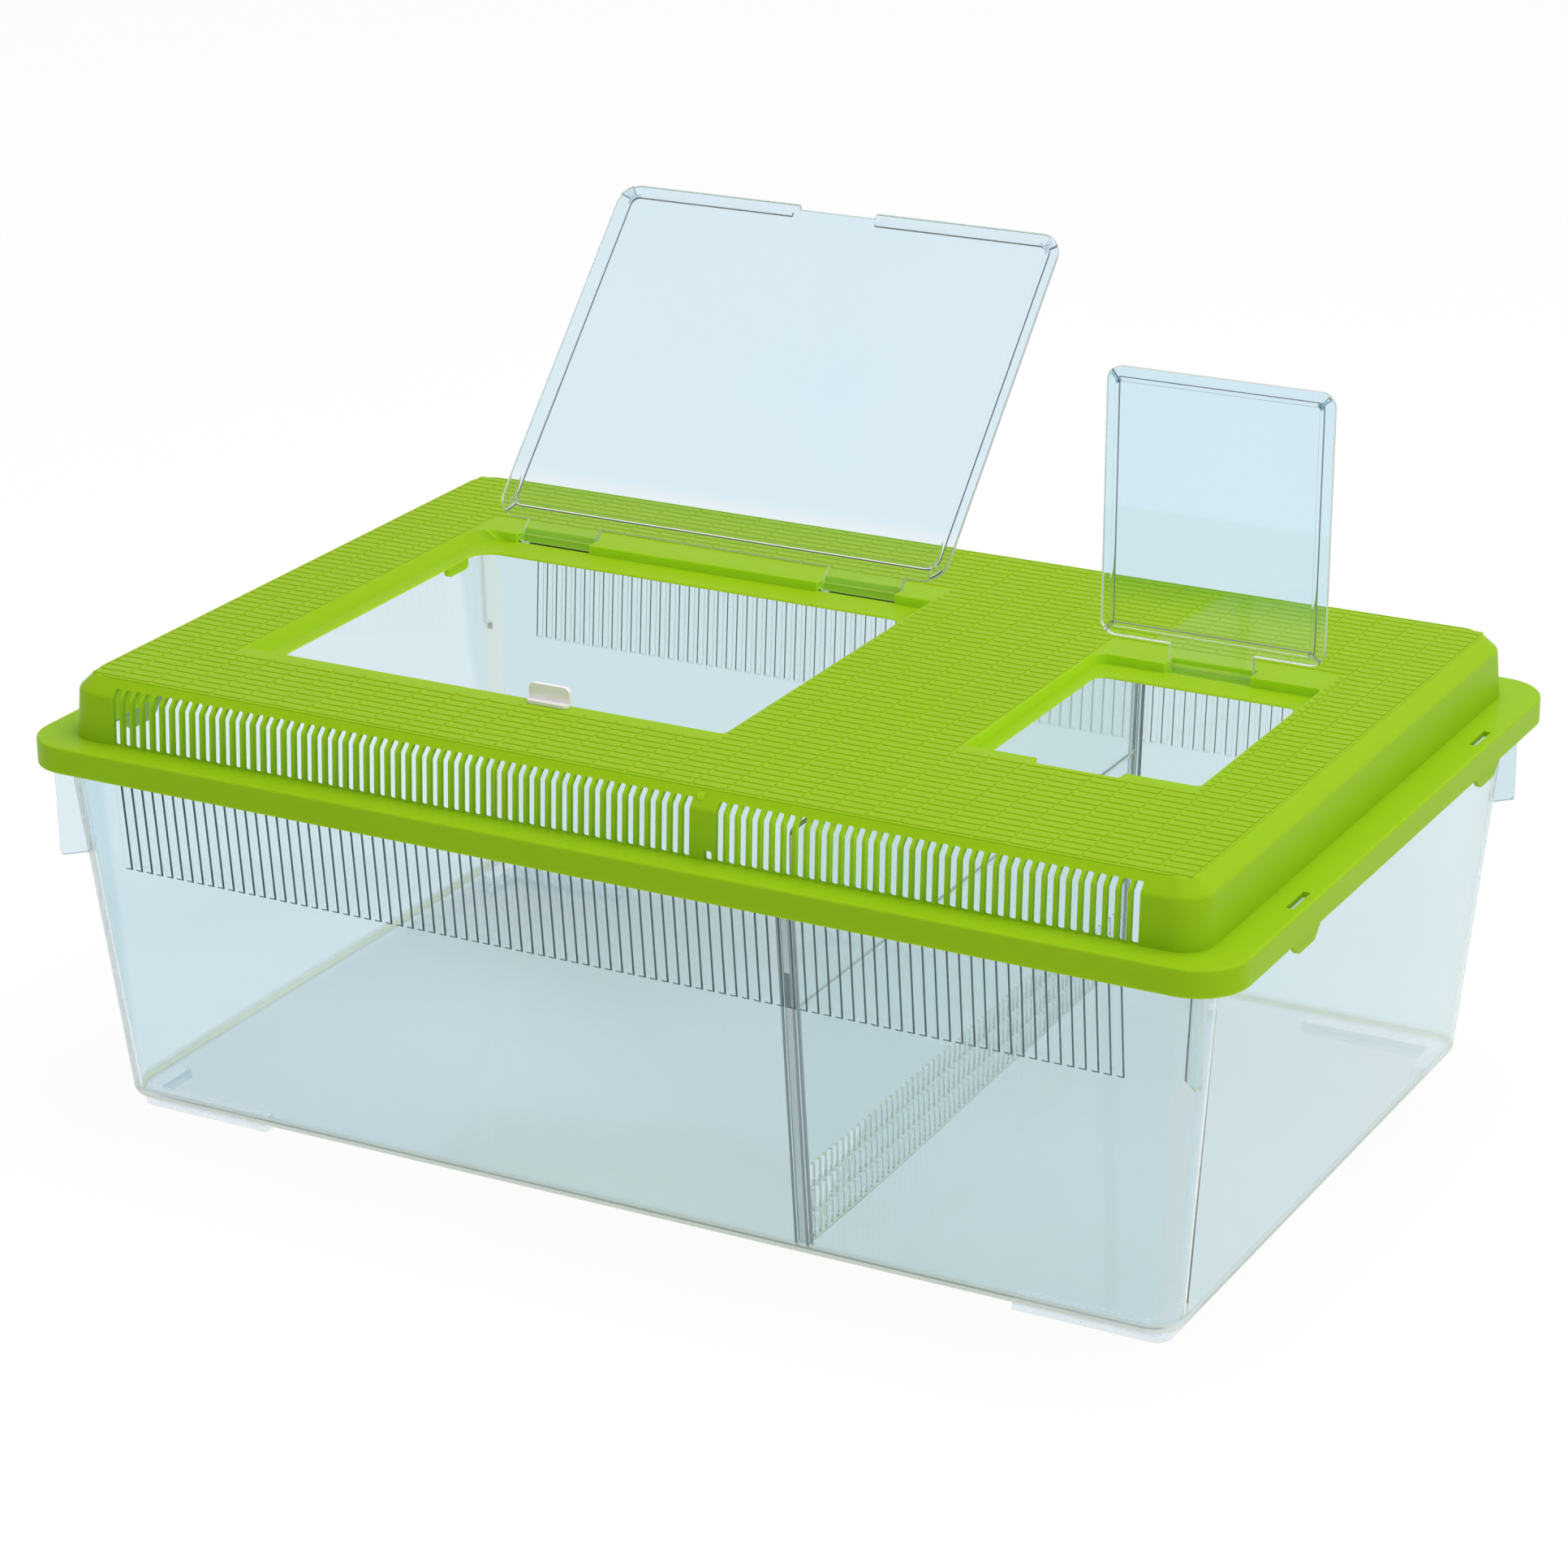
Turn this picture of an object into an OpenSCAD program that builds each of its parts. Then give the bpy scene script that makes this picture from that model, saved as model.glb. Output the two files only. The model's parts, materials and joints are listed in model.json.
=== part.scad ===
// Plastic pet keeper: a clear tub with a vented lid, two clear flaps, a slide latch
// and a clear divider. The long side runs along X, the front faces -Y, and Z = 0 is
// the surface that the feet stand on.

/* [Tub] */
// Height of the tub from the surface to the top of its rim
tub_h = 140.8; // [120:0.1:160]
// Outside length of the tub at its floor
floor_l = 414.4; // [404:0.1:424]
// Outside width of the tub at its floor
floor_w = 261; // [250:0.5:270]
// Outside length of the tub wall at its top
mouth_l = 439.8; // [430:0.1:444]
// Outside width of the tub wall at its top
mouth_w = 284.4; // [276:0.1:286]
// Corner radius of the tub at its floor
floor_r = 12; // [9:0.5:15]
// Corner radius of the tub wall at its top
mouth_r = 16; // [13:0.5:18]
// Wall of the tub
tub_t = 2.5; // [2:0.1:3]
// Bevel that rounds the tub's bottom edge
bottom_edge = 3; // [2:0.5:4]
// Thickness of the rim and of its turned-down lip
rim_t = 2; // [1.6:0.1:2.4]
// Height of the turned-down lip, over all
lip_h = 6.4; // [5:0.1:7]

/* [Feet and corner fins] */
// Height of the feet
foot_h = 4.1; // [3:0.1:6]
// Length of each foot along the long side
foot_l = 55; // [35:1:70]
// Length of each foot along the end
foot_end_l = 24; // [18:1:40]
// Width of the foot's rib
foot_t = 6; // [4:0.5:8]
// How far the feet stand in from the floor's outside
foot_inset = 4.5; // [3:0.5:6]
// Height of the corner fins under the rim
fin_h = 41.3; // [30:0.1:60]
// Thickness of the corner fins
fin_t = 2; // [1.5:0.1:3]
// Reach of the corner fins from the centre of the mouth's corner
fin_reach = 21; // [19:0.5:21]

/* [Lid] */
// Length over the lid's skirt
lid_l = 460; // [456:0.5:480]
// Width over the lid's skirt
lid_w = 295; // [293:0.5:310]
// Corner radius of the skirt
lid_r = 18; // [15:0.5:20]
// Height of the skirt from its lower edge to the flange's top
skirt_h = 9.5; // [9:0.1:12]
// Wall of the lid
lid_t = 2; // [1.6:0.1:2.4]
// Flange along the long sides
side_flange_w = 11.2; // [10:0.1:13]
// Flange at the ends
end_flange_w = 13.5; // [12:0.1:16]
// Height of the dome above the flange
dome_h = 22.5; // [20:0.1:30]
// Corner radius of the dome at its foot
dome_r = 8; // [7:0.5:12]
// Inward draft of the dome's wall over its height
dome_draft = 0.7; // [0.5:0.1:1.5]
// Rounding of the dome's top edge
dome_edge = 6; // [3:0.5:6]
// Place of the cross rib under the dome, in vent pitches from the middle
rib_pitch_no = 9; // [8:1:10]
// Height of the cross rib
rib_h = 18; // [10:1:18]

/* [Vents] */
// Spacing of the vent slots
vent_pitch = 4.218; // [3.8:0.001:5]
// Width of a vent slot
vent_w = 3; // [2:0.1:3.2]
// How far the middle slot sits off the middle of the lid
vent_shift = -0.5; // [-1:0.1:1]
// Height of a vent slot above the flange
vent_h = 20.2; // [15:0.1:21]
// Vent slots on each side of the middle slot
vents_half = 46; // [30:1:46]

/* [Clips] */
// Half the distance between the two clips of an end
clip_y = 82; // [60:1:90]
// How far each pair of clips sits behind the middle of the end
clip_shift = 2; // [0:0.5:4]
// Width of a clip at the skirt
clip_w = 26; // [20:1:30]
// Width of a clip at its tip
clip_tip_w = 13; // [10:1:18]
// How far a clip hangs below the skirt
clip_drop = 6; // [4:0.1:8]
// Length of the slot above each clip
clip_slot_l = 15; // [10:1:18]
// Width of the slot above each clip
clip_slot_w = 2.6; // [2:0.1:3]

/* [Flaps and hatches] */
// Thickness of both flaps
flap_t = 2; // [1.6:0.1:2.4]
// Height of the bead that stiffens a flap's lower face
bead_h = 1; // [0.6:0.1:1.4]
// Width of the bead
bead_w = 1.4; // [1:0.1:2]
// Radius of the barrel on each hinge tab
barrel_r = 1.9; // [1.7:0.1:2.1]
// Radius of the hinge pins
pin_r = 1; // [0.8:0.1:1.2]
// Length of the hinge pins
pin_l = 3; // [2:0.5:4]
// Distance from the hinge axis to the edge of the flap's plate
flap_root = 8.6; // [8:0.1:10]
// Lean of an open flap past upright, at its stop
open_lean = 44; // [30:1:50]
// Lean of the small flap as it stands
small_lean = 1.4; // [0:0.1:10]
// Width of the large flap
large_w = 191; // [180:0.5:195]
// Reach of the large flap from its hinge axis to its free edge
large_reach = 156.3; // [140:0.1:158]
// Middle of the large flap along the lid
large_x = -77.5; // [-80:0.5:-75]
// Hinge axis of the large flap, behind the middle of the lid
large_axis_y = 74.2; // [72:0.1:80]
// Corner radius of the large flap
large_r = 9; // [6:0.5:12]
// Edge of the large flap outside its bead
large_rest = 4.1; // [4:0.1:6]
// How far the large flap's bead sits off its middle
large_bead_shift = 1.1; // [0:0.1:1.1]
// Distance of each hinge tab from the middle of the large flap
large_tab_x = 64.8; // [55:0.1:75]
// Width of the hinge tabs
tab_w = 31.6; // [25:0.1:40]
// Width of the finger notch in the large flap's edge
grip_w = 33; // [25:1:40]
// Width of the small flap
small_w = 84.2; // [75:0.1:90]
// Reach of the small flap from its hinge axis to its free edge
small_reach = 105.6; // [95:0.1:110]
// Middle of the small flap along the lid
small_x = 137.7; // [134:0.1:140]
// Hinge axis of the small flap, behind the middle of the lid
small_axis_y = 50.3; // [45:0.1:60]
// Corner radius of the small flap
small_r = 5.5; // [4:0.5:8]
// Edge of the small flap outside its bead
small_rest = 3.4; // [3:0.1:4]
// Width of the ledge under a flap's front and right edges
ledge_w = 2.8; // [2:0.1:2.8]
// Width of the ledge under the large flap's left edge
large_side_ledge = 6.2; // [4:0.1:10]
// Width of the ledge under the large flap's back edge
large_back_ledge = 6.1; // [5:0.1:12]
// Width of the ledge under the small flap's left edge
small_side_ledge = 4.4; // [3.5:0.1:8]
// Width of the ledge under the small flap's back edge
small_back_ledge = 4.3; // [3.5:0.1:9]
// Length of the lug under the large hatch's left ledge
lug_l = 14; // [8:1:20]
// Drop of the lug below the ledge
lug_h = 3.2; // [2:0.1:4]
// Room left of the large flap in its recess
large_side_room = 3.3; // [1:0.1:4]
// Width of the finger opening in front of the small flap
finger_w = 32; // [20:1:40]
// Depth of the finger opening in front of the small flap
finger_d = 4.6; // [3:0.1:6]

/* [Latch] */
// Middle of the latch along the lid
latch_x = -49; // [-60:0.5:-20]
// Width of the latch
latch_w = 16; // [12:0.5:20]
// Length of the latch's foot along Y
latch_foot_l = 4; // [3.8:0.1:5]
// Height of the latch above its foot
latch_h = 5.6; // [4:0.1:8]
// Thickness of the latch's foot
latch_foot_t = 1.2; // [1:0.1:1.6]
// Thickness of the latch's upright tab
latch_t = 1.6; // [1.2:0.1:2]
// Travel of the latch towards the flap
latch_travel = 2; // [1:0.1:2]

/* [Divider] */
// Place of the divider along the tub
divider_x = 71.6; // [55:0.1:80]
// Thickness of the divider
divider_t = 2.2; // [1.8:0.1:2.6]
// Height of the divider's top above the rim
divider_rise = 17.5; // [5:0.5:18]
// Width of a guide rib in the tub
guide_t = 1.5; // [1.2:0.1:2]
// Height of a guide rib above the wall
guide_h = 3; // [2:0.1:4]
// Spacing of the divider's slots
slot_pitch = 4.2; // [3.8:0.1:6]
// Width of a slot in the divider
slot_w = 1.8; // [1.2:0.1:2.2]
// Height of a slot in the divider
slot_h = 8.3; // [6:0.1:9]
// Height between rows of slots
slot_gap = 1.4; // [1:0.1:2]
// Height of the lowest slots above the divider's foot
slot_foot = 1; // [0.6:0.1:4]
// Rows of slots in the divider
slot_rows = 3; // [1:1:4]

/* [Clearances] */
// Room under a piece that rests on another
seat_gap = 0.1; // [0.05:0.05:0.3]
// Room around a flap in its recess
flap_gap = 0.6; // [0.3:0.1:1]
// Room between a hinge pin and its bore
pin_gap = 0.07; // [0.03:0.01:0.1]
// Room at each side of a hinge tab, and behind it at its stop
tab_gap = 0.3; // [0.2:0.1:0.5]
// Room between the tub's rim and the lid's skirt
rim_gap = 1.5; // [1:0.1:2]
// Room between a clip and the tub's rim
clip_gap = 0.2; // [0.1:0.1:0.4]
// Room between the divider and its guides
divider_gap = 0.3; // [0.2:0.1:0.5]
// Room around the latch's neck in its slot
neck_gap = 0.2; // [0.1:0.05:0.3]

/* [Hidden] */
$fn = 48;
hull_fn = 32;
bite = 1;
over = 20;
lid_z = tub_h + seat_gap;
flange_z = lid_z + lid_t;
skirt_z = flange_z - skirt_h;
dome_z = flange_z + dome_h;
dome_l = lid_l - 2 * end_flange_w;
dome_w = lid_w - 2 * side_flange_w;
recess_d = flap_t + 2 * seat_gap;
ledge_z = dome_z - recess_d;
step_d = bead_h + 2 * seat_gap;
tray_z = ledge_z - step_d - lid_t;
axis_z = ledge_z + seat_gap;
stop_y = (dome_z - axis_z) * tan(open_lean) + flap_t / cos(open_lean) + tab_gap;
pocket_z = axis_z - barrel_r - tab_gap;
block_z = pocket_z - lid_t;
hinge_wall = 5;
grip_d = 2.1;
rim_l = lid_l - 2 * (lid_t + rim_gap);
rim_w = lid_w - 2 * (lid_t + rim_gap);
rim_r = lid_r - lid_t - rim_gap;
floor_z = foot_h + tub_t;
inner_edge = bottom_edge - tub_t / 2;
divider_z = floor_z + seat_gap;
rib_x = vent_shift + rib_pitch_no * vent_pitch;
rib_t = 2;
latch_neck_x = 3;
latch_head_x = 5.5;
latch_head_t = 1.4;
latch_neck_y0 = 0.8;
latch_neck_t = 1.8;
latch_head_l = latch_foot_l - latch_neck_y0;
latch_foot_r = 1.5;
latch_top_r = 0.6;

lid_green = [0.56, 0.75, 0.13];
clear_plastic = [0.80, 0.89, 0.92, 0.45];
frosted_plastic = [0.90, 0.87, 0.87];

// Outside half-width of the tub's wall across Y at height z
function half_w(z) = (floor_w + (mouth_w - floor_w) * (z - foot_h) / (tub_h - foot_h)) / 2;

// Places that share x and y signs: the four corners of a rectangle
module corners(l, w) {
    for (sx = [-1, 1], sy = [-1, 1]) translate([sx * l / 2, sy * w / 2, 0]) children();
}

// Flat rectangle with round corners, between two X and two Y limits
module round_rect(x0, x1, y0, y1, r) {
    translate([x0 + r, y0]) square([x1 - x0 - 2 * r, y1 - y0]);
    translate([x0, y0 + r]) square([x1 - x0, y1 - y0 - 2 * r]);
    for (x = [x0 + r, x1 - r], y = [y0 + r, y1 - r]) translate([x, y]) circle(r);
}

module round_plate(l, w, r, h) {
    linear_extrude(h) round_rect(-l / 2, l / 2, -w / 2, w / 2, r);
}

// Solid of the tub between its outside (inset 0) or its inside (inset tub_t)
module tub_solid(inset, z0, z1) {
    r0 = floor_r - inset;
    r1 = mouth_r - inset;
    edge = inset > 0 ? inner_edge : bottom_edge;
    hull() {
        corners(floor_l - 2 * floor_r, floor_w - 2 * floor_r)
            translate([0, 0, z0]) cylinder(r1 = r0 - edge, r2 = r0, h = edge, $fn = hull_fn);
        corners(mouth_l - 2 * mouth_r, mouth_w - 2 * mouth_r)
            translate([0, 0, z1 - bite]) cylinder(r = r1, h = bite, $fn = hull_fn);
    }
}

// L-shaped rib under one corner of the floor
module foot() {
    x1 = floor_l / 2 - foot_inset;
    y1 = floor_w / 2 - foot_inset;
    linear_extrude(foot_h + bite) intersection() {
        round_rect(-x1, x1, -y1, y1, floor_r - foot_inset / 2);
        union() {
            translate([x1 - foot_l, y1 - foot_t]) square([foot_l, foot_t]);
            translate([x1 - foot_t, y1 - foot_end_l]) square([foot_t, foot_end_l]);
        }
    }
}

// Plate that stands out diagonally from one corner of the tub
module fin() {
    translate([mouth_l / 2 - mouth_r, mouth_w / 2 - mouth_r, tub_h - fin_h]) rotate([0, 0, 45])
        translate([0, -fin_t / 2, 0]) cube([fin_reach, fin_t, fin_h - bite]);
}

// Pair of ribs that holds the divider's edge, on the wall at +Y
module guide_pair() {
    lean = atan((mouth_w - floor_w) / 2 / (tub_h - foot_h));
    for (s = [-1, 1]) translate([divider_x + s * (divider_t + guide_t + 2 * divider_gap) / 2, 0, 0])
        intersection() {
            translate([-guide_t / 2, 0, floor_z - bite])
                cube([guide_t, mouth_w, tub_h - rim_t - floor_z]);
            translate([0, half_w(foot_h) - tub_t - guide_h, foot_h]) rotate([-lean, 0, 0])
                translate([-guide_t, 0, -over]) cube([2 * guide_t, guide_h + tub_t / 2, tub_h + over]);
        }
}

module tub() {
    color(clear_plastic) {
        difference() {
            union() {
                tub_solid(0, foot_h, tub_h);
                translate([0, 0, tub_h - lip_h]) difference() {
                    round_plate(rim_l, rim_w, rim_r, lip_h);
                    translate([0, 0, -bite])
                        round_plate(rim_l - 2 * rim_t, rim_w - 2 * rim_t, rim_r - rim_t, lip_h - rim_t + bite);
                }
                for (mx = [0, 1], my = [0, 1]) mirror([mx, 0, 0]) mirror([0, my, 0]) {
                    foot();
                    fin();
                }
            }
            tub_solid(tub_t, floor_z, tub_h + bite);
        }
        for (my = [0, 1]) mirror([0, my, 0]) guide_pair();
    }
}

// One corner post of the dome, with a rounded top edge
module dome_post(inset, h) {
    r = dome_r - inset;
    e = max(dome_edge - inset, 1);
    rotate_extrude($fn = hull_fn) polygon(concat(
        [[0, 0], [r, 0]],
        [for (a = [0:22.5:90]) [r - dome_draft - e + e * cos(a), h - e + e * sin(a)]],
        [[0, h]]));
}

module dome_solid(inset, z0, z1) {
    hull() corners(dome_l - 2 * dome_r, dome_w - 2 * dome_r)
        translate([0, 0, z0]) dome_post(inset, z1 - z0);
}

// Limits of a flap's recess: [x0, x1, y0, y1]
function recess(x, w, axis_y, reach, side_room) = [
    x - w / 2 - side_room, x + w / 2 + flap_gap,
    axis_y - reach - flap_gap, axis_y - barrel_r - 2 * tab_gap];
large_recess = recess(large_x, large_w, large_axis_y, large_reach, large_side_room);
small_recess = recess(small_x, small_w, small_axis_y, small_reach, flap_gap);

// Limits of the opening inside a recess, which leave a ledge under the flap's edges
function opening(x, w, axis_y, reach, side, back) = [
    x - w / 2 + side, x + w / 2 - ledge_w,
    axis_y - reach + ledge_w, axis_y - flap_root - back];
large_opening = opening(large_x, large_w, large_axis_y, large_reach, large_side_ledge, large_back_ledge);
small_opening = opening(small_x, small_w, small_axis_y, small_reach, small_side_ledge, small_back_ledge);

// Tray under a recess: the ledge and the recess's walls
module tray(rec, r) {
    translate([0, 0, tray_z]) linear_extrude(dome_z - bite - tray_z)
        round_rect(rec[0] - lid_t, rec[1] + lid_t, rec[2] - lid_t, rec[3] + lid_t, r + lid_t);
}

// Recess, the step in its ledge that clears the flap's bead, and the opening
module hatch_cut(rec, open, axis_y, side_room, r) {
    translate([0, 0, ledge_z]) linear_extrude(over) round_rect(rec[0], rec[1], rec[2], rec[3], r);
    translate([0, 0, ledge_z - step_d]) linear_extrude(over)
        round_rect(rec[0] + side_room + ledge_w, open[1], open[2], axis_y - flap_root - ledge_w, r);
    translate([0, 0, tray_z - over]) linear_extrude(2 * over) round_rect(open[0], open[1], open[2], open[3], r);
}

// Block under the dome that holds one hinge tab's pins
module hinge_block(x, axis_y) {
    w = tab_w + 2 * (tab_gap + hinge_wall);
    y0 = axis_y - barrel_r - 2 * tab_gap;
    translate([x - w / 2, y0, block_z]) cube([w, stop_y + hinge_wall + axis_y - y0, dome_z - bite - block_z]);
}

// Pocket and bores for one hinge tab
module hinge_pocket(x, axis_y) {
    w = tab_w + 2 * tab_gap;
    translate([x - w / 2, axis_y - barrel_r - 3 * tab_gap, pocket_z])
        cube([w, stop_y + barrel_r + 3 * tab_gap, over]);
    translate([x, axis_y, axis_z]) rotate([0, 90, 0])
        cylinder(r = pin_r + pin_gap, h = w + 2 * (pin_l + tab_gap), center = true);
}

// Front row of vents; the mirror image cuts the back row
module vents() {
    for (i = [-vents_half:vents_half]) if (i != rib_pitch_no)
        translate([vent_shift + i * vent_pitch - vent_w / 2, -dome_w / 2 - bite, flange_z])
            cube([vent_w, lid_t + dome_draft + 3 * bite, vent_h]);
}

// Clip below the skirt at the +X end, close outside the tub's rim
module clip() {
    translate([rim_l / 2 + clip_gap + lid_t, 0, skirt_z]) rotate([90, 0, -90]) linear_extrude(lid_t) polygon([
        [-clip_w / 2, bite], [-clip_w / 2, 0], [-clip_tip_w / 2, -clip_drop],
        [clip_tip_w / 2, -clip_drop], [clip_w / 2, 0], [clip_w / 2, bite]]);
}

// Slot for the latch's neck, open to the recess, and the room its head slides in
module latch_slot() {
    y0 = large_recess[2] - neck_gap - latch_foot_l;
    neck_y = y0 + latch_neck_y0 - neck_gap;
    head_x = latch_head_x + 2 * neck_gap;
    translate([latch_x - latch_neck_x - neck_gap, neck_y, tray_z - bite])
        cube([2 * (latch_neck_x + neck_gap), large_recess[2] - neck_y + seat_gap, over]);
    translate([latch_x - head_x, y0 - bite, tray_z - bite])
        cube([2 * head_x, latch_head_l + latch_travel + 2 * bite, dome_z - lid_t - tray_z + bite]);
}

module lid() {
    color(lid_green) difference() {
        union() {
            difference() {
                union() {
                    translate([0, 0, skirt_z]) round_plate(lid_l, lid_w, lid_r, skirt_h);
                    dome_solid(0, flange_z - bite, dome_z);
                }
                translate([0, 0, skirt_z - bite])
                    round_plate(lid_l - 2 * lid_t, lid_w - 2 * lid_t, lid_r - lid_t, lid_z - skirt_z + bite);
                dome_solid(lid_t, lid_z - bite, dome_z - lid_t);
            }
            tray(large_recess, large_r);
            tray(small_recess, small_r);
            translate([large_opening[0] - lid_t, large_opening[3] - large_r - lug_l, tray_z - lug_h])
                cube([lid_t, lug_l, lug_h + bite]);
            for (s = [-1, 1]) hinge_block(large_x + s * large_tab_x, large_axis_y);
            hinge_block(small_x, small_axis_y);
            translate([rib_x - rib_t / 2, -dome_w / 2 + lid_t, dome_z - bite - rib_h])
                cube([rib_t, dome_w - 2 * lid_t, rib_h]);
            for (mx = [0, 1], s = [-1, 1]) mirror([mx, 0, 0]) translate([0, clip_shift + s * clip_y, 0]) clip();
        }
        hatch_cut(large_recess, large_opening, large_axis_y, large_side_room, large_r);
        hatch_cut(small_recess, small_opening, small_axis_y, flap_gap, small_r);
        for (s = [-1, 1]) hinge_pocket(large_x + s * large_tab_x, large_axis_y);
        hinge_pocket(small_x, small_axis_y);
        translate([small_x - finger_w / 2, small_recess[2] - finger_d, tray_z - bite])
            cube([finger_w, finger_d + flap_gap + ledge_w + bite, over]);
        latch_slot();
        vents();
        mirror([0, 1, 0]) vents();
        for (mx = [0, 1], s = [-1, 1]) mirror([mx, 0, 0])
            translate([rim_l / 2 - clip_slot_w, clip_shift + s * clip_y - clip_slot_l / 2, lid_z - bite])
                cube([clip_slot_w, clip_slot_l, lid_t + 2 * bite]);
    }
}

// Hinge tab with its barrel and pins, for a closed flap, around the hinge axis
module hinge_tab() {
    translate([-tab_w / 2, -flap_root - bite, 0]) cube([tab_w, flap_root + bite, flap_t]);
    rotate([0, 90, 0]) {
        cylinder(r = barrel_r, h = tab_w, center = true);
        cylinder(r = pin_r, h = tab_w + 2 * pin_l, center = true);
    }
}

// Closed flap around its hinge axis; it reaches towards -Y
module flap(w, reach, r, rest, shift, tabs) {
    linear_extrude(flap_t) round_rect(-w / 2, w / 2, -reach, -flap_root, r);
    translate([shift, 0, -bead_h]) linear_extrude(bead_h) difference() {
        round_rect(-w / 2 + rest, w / 2 - rest, -reach + rest, -flap_root - rest, r - rest / 2);
        round_rect(-w / 2 + rest + bead_w, w / 2 - rest - bead_w,
            -reach + rest + bead_w, -flap_root - rest - bead_w, r - rest / 2 - bead_w);
    }
    for (x = tabs) translate([x, 0, 0]) hinge_tab();
}

module large_flap() {
    color(clear_plastic) translate([large_x, large_axis_y, axis_z]) rotate([-90 - open_lean, 0, 0])
        difference() {
            flap(large_w, large_reach, large_r, large_rest, large_bead_shift, [-large_tab_x, large_tab_x]);
            translate([-grip_w / 2, -large_reach - bite, -bite]) cube([grip_w, grip_d + bite, flap_t + 2 * bite]);
            translate([-grip_w / 2 - bead_w, -large_reach, -bead_h - bite])
                cube([grip_w + 2 * bead_w, large_rest + bead_w + bite, bead_h + bite]);
        }
}

module small_flap() {
    color(clear_plastic) translate([small_x, small_axis_y, axis_z]) rotate([-90 - small_lean, 0, 0])
        flap(small_w, small_reach, small_r, small_rest, 0, [0]);
}

// Slide latch: a foot on the dome, an upright tab, and a neck with a head under the dome
module slide_latch() {
    y1 = large_recess[2] - neck_gap;
    y0 = y1 - latch_foot_l;
    z0 = dome_z + seat_gap;
    head_z = dome_z - lid_t - seat_gap - latch_head_t;
    color(frosted_plastic) {
        translate([latch_x, 0, z0]) linear_extrude(latch_foot_t)
            round_rect(-latch_w / 2, latch_w / 2, y0, y1, latch_foot_r);
        translate([latch_x, y1, z0]) rotate([90, 0, 0]) linear_extrude(latch_t)
            round_rect(-latch_w / 2, latch_w / 2, 0, latch_foot_t + latch_h, latch_top_r);
        translate([latch_x - latch_neck_x, y0 + latch_neck_y0, head_z])
            cube([2 * latch_neck_x, latch_neck_t, z0 - head_z + latch_foot_t / 2]);
        translate([latch_x - latch_head_x, y0, head_z])
            cube([2 * latch_head_x, latch_head_l, latch_head_t]);
    }
}

// Inside half-width of the tub across Y at height z, above the bevel at its floor
function cavity_half(z) = floor_w / 2 - tub_t
    + (mouth_w - floor_w) / 2 * (z - floor_z - inner_edge) / (tub_h - floor_z - inner_edge);

// Height at which the divider steps in to pass under the lid
step_z = tub_h - 3;
divider_half = cavity_half(floor_z + inner_edge) - divider_gap;
divider_step_half = cavity_half(step_z) - divider_gap;
divider_top_half = dome_w / 2 - lid_t - dome_draft - divider_gap;

module divider() {
    n = floor((divider_half - 2 * slot_w) / slot_pitch);
    color(clear_plastic) difference() {
        translate([divider_x + divider_t / 2, 0, 0]) rotate([90, 0, -90]) linear_extrude(divider_t) polygon([
            [-divider_half, divider_z + inner_edge], [-divider_half + inner_edge, divider_z],
            [divider_half - inner_edge, divider_z], [divider_half, divider_z + inner_edge],
            [divider_step_half, step_z], [divider_top_half, step_z + 3 * bite],
            [divider_top_half, tub_h + divider_rise], [-divider_top_half, tub_h + divider_rise],
            [-divider_top_half, step_z + 3 * bite], [-divider_step_half, step_z]]);
        for (i = [-n:n], k = [0:slot_rows - 1])
            translate([divider_x - divider_t, i * slot_pitch - slot_w / 2,
                       divider_z + slot_foot + k * (slot_h + slot_gap)])
                cube([2 * divider_t, slot_w, slot_h]);
    }
}

tub();
lid();
large_flap();
small_flap();
slide_latch();
divider();
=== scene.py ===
"""Looks of a plastic pet keeper: a clear fluted tub under a green vented lid, with two clear
feeding flaps, a frosted slide latch and a slotted clear divider. All sizes are in metres."""
import json
import math

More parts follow.
